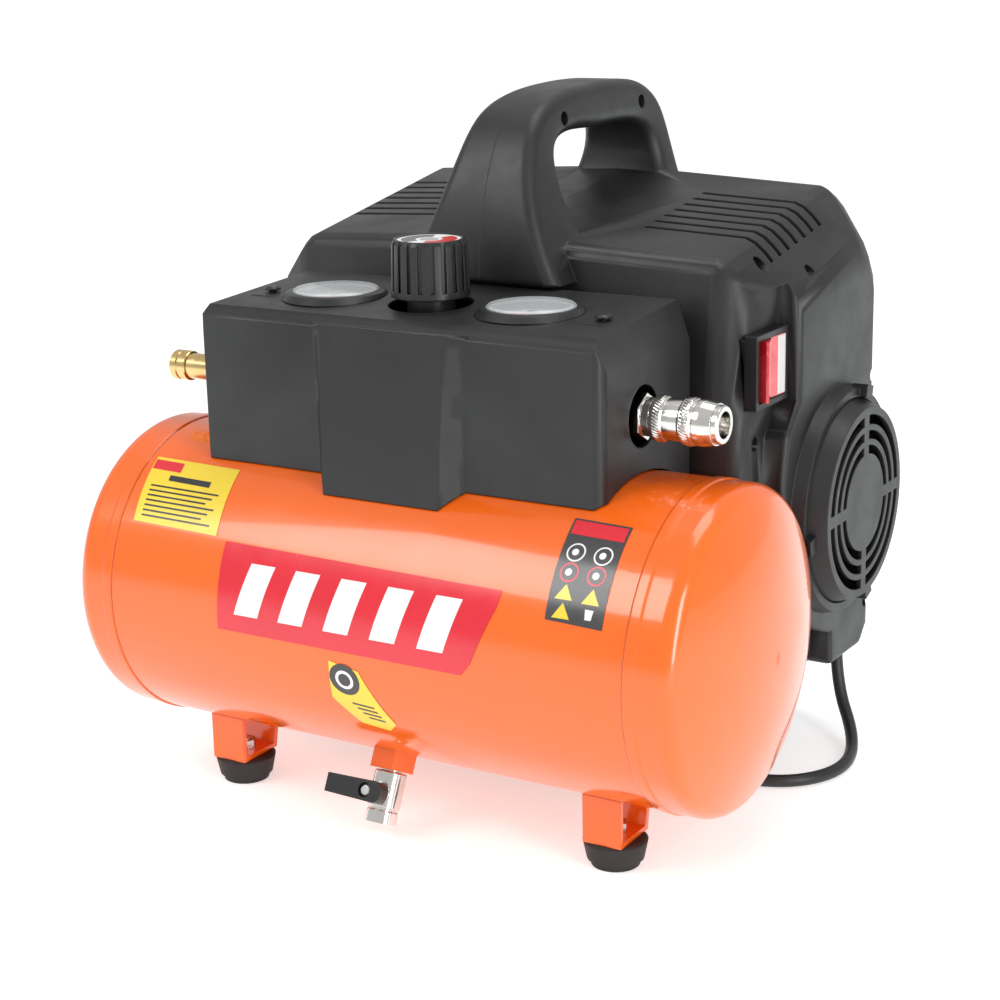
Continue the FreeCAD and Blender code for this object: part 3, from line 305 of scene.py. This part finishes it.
def new_piece(name, shape, material, body="base", smooth=True):
    """Make a piece of the object from a bmesh and set it on its body."""
    mesh = bpy.data.meshes.new(name)
    shape.to_mesh(mesh)
    shape.free()
    mesh.materials.append(material)
    for face in mesh.polygons:
        face.use_smooth = smooth
    if smooth:
        mesh.set_sharp_from_angle(angle=math.radians(35))
    piece = bpy.data.objects.new(name, mesh)
    bpy.context.scene.collection.objects.link(piece)
    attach(piece, body)
    return piece


def slot_of(node):
    return next(part["material_slot"] for part in frame["record"]["subparts"] if part["node"] == node)


def is_broad(face, width):
    """Whether a face is wide enough to carry a rounding along its edges."""
    return face.calc_area() > 0.8 * width * face.calc_perimeter()


def is_seam(edge):
    """Whether an edge lies where the two halves of the housing meet."""
    return max(abs(vert.co.x) for vert in edge.verts) < 0.3 * MM


def merged_copy(node):
    """The node's mesh with its triangles joined into whole flat faces."""
    shape = bmesh.new()
    shape.from_mesh(NODES[node].data)
    bmesh.ops.remove_doubles(shape, verts=shape.verts, dist=1e-5)
    bmesh.ops.dissolve_limit(shape, angle_limit=math.radians(1.2), verts=shape.verts, edges=shape.edges)
    return shape


def blended(node, materials, angle):
    """A copy of a chamfered node, shown in its place, whose chamfers shade as soft roundings."""
    piece = new_piece(node + "_blended", merged_copy(node), materials[slot_of(node)])
    piece.data.set_sharp_from_angle(angle=math.radians(angle))
    shading = piece.modifiers.new("even shading", "WEIGHTED_NORMAL")
    shading.keep_sharp = True
    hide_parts(node)


def rounded(node, materials, width, shortest, angle):
    """A copy of a moulded node, shown in its place, with its long outer edges rounded."""
    shape = merged_copy(node)
    weights = shape.edges.layers.float.new("bevel_weight_edge")
    for edge in shape.edges:
        if len(edge.link_faces) != 2 or not edge.is_convex or is_seam(edge):
            continue
        turn = math.degrees(edge.calc_face_angle(0))
        broad = all(is_broad(face, width) for face in edge.link_faces)
        low = max(vert.co.z for vert in edge.verts) < ROUNDED_BELOW
        if turn > angle and edge.calc_length() > shortest and broad and low:
            edge[weights] = 1.0
    piece = new_piece(node + "_rounded", shape, materials[slot_of(node)])
    bevel = piece.modifiers.new("rounding", "BEVEL")
    bevel.limit_method = "WEIGHT"
    bevel.width = width
    bevel.segments = 3
    bevel.use_clamp_overlap = False
    bevel.harden_normals = True
    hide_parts(node)


# ---- labels on the tank ------------------------------------------------------------------------

def on_tank(x, down, lift):
    """A point on the tank, down degrees round from its top towards the front."""
    turn = math.radians(down)
    reach = TANK_RADIUS + lift
    return Vector((x, TANK_Y - reach * math.sin(turn), TANK_Z + reach * math.cos(turn)))


# how far each layer of a label lies above the tank, in mm
BACKING, PRINT, OVERPRINT, TOP_PRINT = 0.25, 0.32, 0.38, 0.44


def sticker(name, outline, material, lift=PRINT):
    """A thin label of (x in mm, degrees from the top) corners that follows the tank's curve."""
    shape = bmesh.new()
    corners = [shape.verts.new((x, down, 0)) for x, down in outline]
    shape.faces.new(corners)
    angles = [down for x, down in outline]
    spans = int(max(angles) - min(angles)) // 3 + 1
    for i in range(1, spans):
        cut = min(angles) + (max(angles) - min(angles)) * i / spans
        bmesh.ops.bisect_plane(shape, geom=shape.verts[:] + shape.edges[:] + shape.faces[:],
                               plane_co=(0, cut, 0), plane_no=(0, 1, 0))
    for vert in shape.verts:
        vert.co = on_tank(vert.co.x * MM, vert.co.y, lift * MM)
    bmesh.ops.recalc_face_normals(shape, faces=shape.faces)
    for face in shape.faces:
        middle = face.calc_center_median()
        if face.normal.dot(middle - Vector((middle.x, TANK_Y, TANK_Z))) < 0:
            face.normal_flip()
    new_piece(name, shape, material)


def disc(name, x, down, radius, material, lift=PRINT, points=28):
    """A round label on the tank, with its radius in mm."""
    per_degree = math.radians(1) * TANK_RADIUS / MM
    turns = [2 * math.pi * i / points for i in range(points)]
    outline = [(x + radius * math.cos(turn), down + radius * math.sin(turn) / per_degree) for turn in turns]
    sticker(name, outline, material, lift)


def printed(name, colour, rough=0.25):
    """Printed film or paint with a slight fade."""
    finish = Finish(name, colour, rough, Coat_Weight=0.5, Coat_Roughness=0.15)
    finish.mottle(30, darker(colour, 0.88), 0.6)
    return finish.grain(500, 0.03 * MM, strength=0.15).uneven_gloss(80, 0.06).material


def make_notice_label(yellow, ink, red):
    """The notice at the left, with plain lines in place of text."""
    sticker("notice_label", [(-138.6, 31.0), (-86.2, 32.0), (-82.4, 59.5), (-134.6, 58.5)], yellow, BACKING)
    sticker("notice_flash", [(-137.9, 32.4), (-120.0, 32.8), (-119.0, 37.2), (-137.2, 36.8)], red)
    sticker("notice_heading", [(-124.0, 38.8), (-98.0, 39.3), (-97.7, 41.8), (-123.6, 41.2)], ink)
    for i in range(7):
        top = 43.6 + 2.0 * i
        left = -132.5 + 0.28 * i
        right = -90.0 + 0.28 * i - 3 * (i % 3)
        line = [(left, top), (right, top + 0.4), (right, top + 1.1), (left, top + 0.7)]
        sticker(f"notice_line_{i}", line, ink)


def make_badge(red, white):
    """The broad badge in the middle, with plain stripes."""
    outline = [(-76.0, 60.7), (79.0, 62.0), (77.5, 68.0), (66.5, 88.0), (61.5, 92.6), (-76.0, 92.4)]
    sticker("badge", outline, red, BACKING)
    for i in range(5):
        left = -58.0 + 26.0 * i
        stripe = [(left, 67.0), (left + 14.0, 67.0), (left + 6.0, 86.0), (left - 8.0, 86.0)]
        sticker(f"badge_stripe_{i}", stripe, white)


def make_symbol_label(charcoal, red, white, yellow):
    """The panel at the right, with generic rings, triangles and a block."""
    sticker("symbol_label", [(101.0, 32.0), (130.0, 32.7), (130.7, 69.5), (102.4, 68.8)], charcoal, BACKING)
    sticker("symbol_flash", [(102.0, 32.8), (128.8, 33.5), (129.1, 39.2), (102.4, 38.5)], red)
    for row, ring_colour in ((45.2, white), (52.4, red)):
        for column, x in enumerate((108.9, 122.4)):
            tag = f"{row:.0f}_{column}"
            disc(f"symbol_ring_{tag}", x, row, 4.6, ring_colour)
            disc(f"symbol_core_{tag}", x, row, 3.8, charcoal, OVERPRINT)
            disc(f"symbol_dot_{tag}", x - 0.3, row, 1.7, white, TOP_PRINT, points=12)
    for row, x in ((59.2, 109.4), (59.6, 122.8), (65.4, 109.8)):
        triangle = [(x, row - 2.8), (x + 4.4, row + 2.4), (x - 4.4, row + 2.4)]
        sticker(f"symbol_triangle_{row:.0f}_{x:.0f}", triangle, yellow)
    sticker("symbol_block", [(121.0, 63.6), (125.2, 63.7), (124.6, 67.0), (121.6, 67.0)], white)


def make_drain_tag(yellow, ink, white):
    """The tag above the drain."""
    outline = [(-11.6, 96.5), (4.6, 98.8), (18.6, 120.0), (13.0, 124.6), (-2.0, 123.0), (-13.8, 112.0)]
    sticker("drain_tag", outline, yellow, BACKING)
    disc("drain_disc", -4.0, 103.2, 8.4, ink)
    disc("drain_ring", -4.0, 103.2, 5.0, white, OVERPRINT)
    disc("drain_core", -4.0, 103.2, 3.4, ink, TOP_PRINT)
    for i in range(4):
        row = 112.6 + 2.0 * i
        left = -3.0 + 2.2 * i
        right = 9.0 + 1.2 * i
        line = [(left, row), (right, row + 0.6), (right + 0.3, row + 1.4), (left + 0.3, row + 0.8)]
        sticker(f"drain_line_{i}", line, ink)


def make_labels():
    yellow = printed("label_yellow", (0.86, 0.62, 0.03))
    ink = printed("label_ink", (0.02, 0.02, 0.022))
    red = printed("label_red", (0.72, 0.012, 0.03))
    white = printed("label_white", (0.85, 0.85, 0.84))
    charcoal = printed("label_charcoal", (0.045, 0.043, 0.045))
    make_notice_label(yellow, ink, red)
    make_badge(red, white)
    make_symbol_label(charcoal, red, white, yellow)
    make_drain_tag(yellow, ink, white)


# ---- gauge faces and knob disc -----------------------------------------------------------------

def flat_shape(name, outline, height, material, body="base"):
    """A thin level plate of (x, y) corners in metres."""
    shape = bmesh.new()
    face = shape.faces.new([shape.verts.new((x, y, height)) for x, y in outline])
    if face.normal.z < 0:
        face.normal_flip()
    new_piece(name, shape, material, body, smooth=False)


def arc_band(centre, inner, outer, start, end, steps=24):
    """Corners of a flat band round a centre, from one angle to another in degrees."""
    angles = [math.radians(start + (end - start) * i / steps) for i in range(steps + 1)]
    outside = [(centre.x + outer * math.cos(a), centre.y + outer * math.sin(a)) for a in angles]
    inside = [(centre.x + inner * math.cos(a), centre.y + inner * math.sin(a)) for a in reversed(angles)]
    return outside + inside


def number(name, text, place, size, material):
    curve = bpy.data.curves.new(name, "FONT")
    curve.body = text
    curve.size = size
    curve.align_x = "CENTER"
    curve.align_y = "CENTER"
    curve.materials.append(material)
    piece = bpy.data.objects.new(name, curve)
    piece.location = place
    bpy.context.scene.collection.objects.link(piece)
    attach(piece, "base")


# a gauge's scale, with its angles in degrees, anticlockwise from the right
SCALE_START, SCALE_END = 225, -45
RED_ZONE_START = 9
TICKS = 40
TICKS_PER_NUMBER = 8
NUMBER_STEP = 2


def make_scale(side, centre, radius, level, ink):
    """The ticks and numbers of one gauge."""
    edge = radius - 2.2 * MM
    reach = radius - 7.4 * MM
    for i in range(TICKS + 1):
        turn = SCALE_START + (SCALE_END - SCALE_START) * i / TICKS
        numbered = i % TICKS_PER_NUMBER == 0
        length = (2.6 if numbered else 1.3) * MM
        tick = arc_band(centre, edge - length, edge, turn - 0.7, turn + 0.7, 2)
        flat_shape(f"tick_{side}_{i}", tick, level, ink)
        if numbered:
            angle = math.radians(turn)
            place = (centre.x + reach * math.cos(angle), centre.y + reach * math.sin(angle), level)
            text = str(i // TICKS_PER_NUMBER * NUMBER_STEP)
            number(f"figure_{side}_{i}", text, place, 3.6 * MM, ink)


def make_gauge_faces(materials):
    ink = printed("dial_ink", (0.015, 0.015, 0.018), 0.4)
    green = printed("dial_green", (0.04, 0.32, 0.08), 0.4)
    red = materials["needle_red"]
    low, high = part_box("gauge_dials")
    radius = (high[1] - low[1]) / 2
    level = high[2] + 0.06 * MM
    for side, x in (("left", low[0] + radius), ("right", high[0] - radius)):
        centre = Vector((x, (low[1] + high[1]) / 2, 0))
        make_scale(side, centre, radius, level, ink)
        inner, outer = radius - 1.9 * MM, radius - 0.9 * MM
        green_zone = arc_band(centre, inner, outer, SCALE_START, RED_ZONE_START)
        red_zone = arc_band(centre, inner, outer, RED_ZONE_START, SCALE_END)
        flat_shape(f"zone_green_{side}", green_zone, level, green)
        flat_shape(f"zone_red_{side}", red_zone, level, red)
        hub = arc_band(centre, 0.2 * MM, 2.6 * MM, 0, 359, 32)
        flat_shape(f"needle_hub_{side}", hub, level + 2.2 * MM, ink, f"{side}_needle")


def make_knob_disc(materials):
    """A red band, a dark band and a hub on the knob's cap."""
    low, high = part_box("regulator_knob_cap")
    centre = box_centre("regulator_knob_cap")
    radius = (high[0] - low[0]) / 2
    level = high[2] + 0.08 * MM
    grey = printed("disc_grey", (0.42, 0.42, 0.42), 0.35)
    ink = printed("disc_ink", (0.02, 0.02, 0.02), 0.35)
    inner, outer = radius * 0.42, radius * 0.86
    plus = arc_band(centre, inner, outer, -70, 70)
    minus = arc_band(centre, inner, outer, 110, 250)
    hub = arc_band(centre, 0.2 * MM, radius * 0.3, 0, 359, 32)
    flat_shape("knob_arrow_plus", plus, level, materials["needle_red"], body="pressure_knob")
    flat_shape("knob_arrow_minus", minus, level, ink, body="pressure_knob")
    flat_shape("knob_hub", hub, level, grey, body="pressure_knob")


# ---- knurled rings -----------------------------------------------------------------------------

KNURL_TEETH = 44
KNURLS = {      # start and end from the sleeve's rear, radius and depth, in mm
    "rear": (0.8, 5.4, 10.52, 0.35),
    "front": (15.6, 19.8, 10.82, 0.3),
}


def knurl(name, axis, start, end, radius, depth, material):
    """A ring of small diamond points round the coupling's sleeve, along X."""
    shape = bmesh.new()
    points = 2 * KNURL_TEETH
    pitch = 2 * math.pi * radius / KNURL_TEETH
    rows = max(3, round((end - start) / pitch))
    rings = []
    for row in range(rows + 1):
        x = start + (end - start) * row / rows
        ring = []
        for i in range(points):
            raised = (i + row) % 2 == 0 and row not in (0, rows)
            reach = radius + (depth if raised else 0)
            turn = 2 * math.pi * i / points
            y = axis.y + reach * math.cos(turn)
            z = axis.z + reach * math.sin(turn)
            ring.append(shape.verts.new((x, y, z)))
        rings.append(ring)
    for lower, upper in zip(rings, rings[1:]):
        for i in range(points):
            after = (i + 1) % points
            shape.faces.new((lower[i], lower[after], upper[after], upper[i]))
    bmesh.ops.recalc_face_normals(shape, faces=shape.faces)
    new_piece(name, shape, material, "coupler_ring", smooth=False)


def make_knurls(materials):
    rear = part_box("coupler_sleeve")[0][0]
    axis = box_centre("coupler_sleeve")
    for place, (start, end, radius, depth) in KNURLS.items():
        knurl(f"coupler_knurl_{place}", axis, rear + start * MM, rear + end * MM, radius * MM, depth * MM,
              materials["nickel"])


# ---- mains lead, in mm -------------------------------------------------------------------------

LEAD_THICKNESS = 6.5
ON_FLOOR = LEAD_THICKNESS / 2
LEAD_ROUTE = [
    (134.0, 115.0, 64.5), (134.0, 115.0, 29.5), (155.0, 95.0, ON_FLOOR), (164.0, 54.0, ON_FLOOR),
    (143.0, 25.0, ON_FLOOR), (105.0, 22.0, ON_FLOOR), (66.0, 36.0, ON_FLOOR)]
LEAD_END = (-6.0, 45.5, 17.5)
COIL_CENTRE = (20.0, 82.0)
COIL_RADIUS = 39.2
COIL_TURNS = 6
TURNS_PER_LAYER = 2
TOP_LAYER = COIL_TURNS // TURNS_PER_LAYER - 1
POINTS_PER_TURN = 16


def coil_points():
    """Points of the stored turns: three layers of two, lying against each other."""
    points = []
    for i in range(COIL_TURNS * POINTS_PER_TURN + 1):
        turn = i / POINTS_PER_TURN
        layer = min(int(turn // TURNS_PER_LAYER), TOP_LAYER)
        within = turn - TURNS_PER_LAYER * layer
        crossed = min(max(within - 0.75, 0) * 2, 1)
        inward = crossed if layer % 2 == 0 else 1 - crossed
        climb = min(max(within - 1.75, 0) * 4, 1) if layer < TOP_LAYER else 0
        radius = COIL_RADIUS - LEAD_THICKNESS * inward
        height = ON_FLOOR + LEAD_THICKNESS * (layer + climb)
        angle = -math.pi / 2 - 2 * math.pi * turn
        x = COIL_CENTRE[0] + radius * math.cos(angle)
        y = COIL_CENTRE[1] + radius * math.sin(angle)
        points.append((x, y, height))
    return points


def make_lead(materials):
    points = LEAD_ROUTE + coil_points() + [LEAD_END]
    curve = bpy.data.curves.new("mains_lead", "CURVE")
    curve.dimensions = "3D"
    spline = curve.splines.new("NURBS")
    spline.points.add(len(points) - 1)
    for point, place in zip(spline.points, points):
        point.co = (*[part * MM for part in place], 1)
    spline.order_u = 3
    spline.use_endpoint_u = True
    spline.resolution_u = 8
    curve.bevel_depth = LEAD_THICKNESS / 2 * MM
    curve.bevel_resolution = 6
    curve.use_fill_caps = True
    curve.materials.append(materials["lead_rubber"])
    lead = bpy.data.objects.new("mains_lead", curve)
    bpy.context.scene.collection.objects.link(lead)
    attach(lead, "base")
    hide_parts("lead_tube", "lead_coil")


# ---- small trim --------------------------------------------------------------------------------

def make_spring(materials):
    """A copy of the regulator's spring with its triangles joined into flat faces and a mesh of its own,
    shown in its place.
    """
    shape = merged_copy("regulator_spring")
    piece = new_piece("regulator_spring_turns", shape, materials["zinc_steel"])
    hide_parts("regulator_spring")
    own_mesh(piece)


ROCKER_PIVOT_X = 134 * MM
ROCKER_LEAN = math.radians(8.0)
PALE_HALF_HEIGHT = 14.2
PALE_INNER, PALE_OUTER = (4.75, 0.6), (7.45, 12.9)      # (x, y) from the pivot before the lean, in mm


def make_rocker_face():
    """The pale rear half of the rocker, whose front half is red."""
    pale = printed("rocker_pale", (0.62, 0.58, 0.58), 0.15)
    centre = box_centre("switch_rocker")
    cos, sin = math.cos(ROCKER_LEAN), math.sin(ROCKER_LEAN)
    shape = bmesh.new()
    verts = []
    for (x, y), side in ((PALE_INNER, -1), (PALE_OUTER, -1), (PALE_OUTER, 1), (PALE_INNER, 1)):
        verts.append(shape.verts.new((
            ROCKER_PIVOT_X + (x * cos - y * sin) * MM, centre.y + (x * sin + y * cos) * MM,
            centre.z + side * PALE_HALF_HEIGHT * MM)))
    face = shape.faces.new(verts)
    if face.normal.x < 0:
        face.normal_flip()
    new_piece("rocker_pale_half", shape, pale, "rocker", smooth=False)


# ---- build -------------------------------------------------------------------------------------

make_camera()
make_floor()
make_light()
MATERIALS = make_materials()
dress_nodes(MATERIALS)
make_lead(MATERIALS)
blended("console_cover", MATERIALS, 50)
for side in ("left", "right"):
    rounded(f"housing_{side}_shell", MATERIALS, width=3 * MM, shortest=10 * MM, angle=28)
make_labels()
make_gauge_faces(MATERIALS)
make_knob_disc(MATERIALS)
make_knurls(MATERIALS)
make_rocker_face()
make_spring(MATERIALS)
